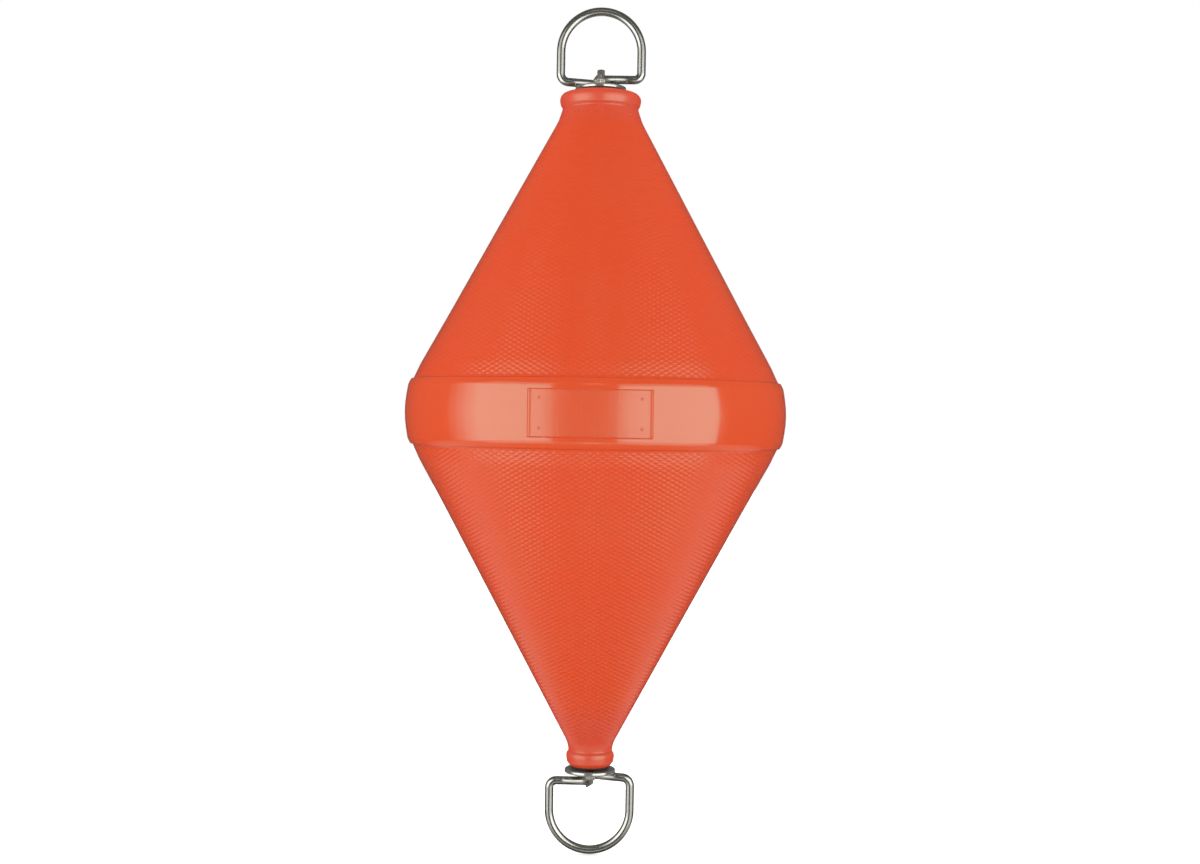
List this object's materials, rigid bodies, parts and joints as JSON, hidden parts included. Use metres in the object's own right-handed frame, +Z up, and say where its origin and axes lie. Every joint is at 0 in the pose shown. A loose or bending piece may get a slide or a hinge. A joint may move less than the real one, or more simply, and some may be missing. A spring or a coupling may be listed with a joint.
{
  "type": "biconical mooring buoy",
  "caption": "Double-cone plastic float with a crowned belt round its middle, on a through rod with a steel D ring welded on each end for a mooring chain and a line.",
  "frame": {"origin": "on the rod's axis at the middle of the belt, where the loaded buoy meets the water", "axes": "+Z up along the rod, -Y towards the recessed panel on the belt, both D rings in the XZ plane"},
  "size_m": [0.4, 0.3989, 0.8927],
  "materials": {
    "float_plastic": "moulded orange polyethylene, satin, with a raised diamond grain on both cones",
    "seal_rubber": "matt black",
    "polished_steel": "polished stainless",
    "weld_metal": "pickled stainless weld"
  },
  "bodies": {
    "float": {"float_shell": "float_plastic", "upper_seal": "seal_rubber", "lower_seal": "seal_rubber"},
    "mooring_rod": {"through_rod": "polished_steel", "upper_washer": "polished_steel", "lower_washer": "polished_steel", "upper_ring": "polished_steel", "lower_ring": "polished_steel", "upper_weld": "weld_metal", "lower_weld": "weld_metal"}
  },
  "joints": [
    {"name": "rod_swivel", "type": "hinge", "parent": "float", "child": "mooring_rod", "pos_m": [0, 0, 0], "axis": [0, 0, 1], "continuous": true}
  ]
}
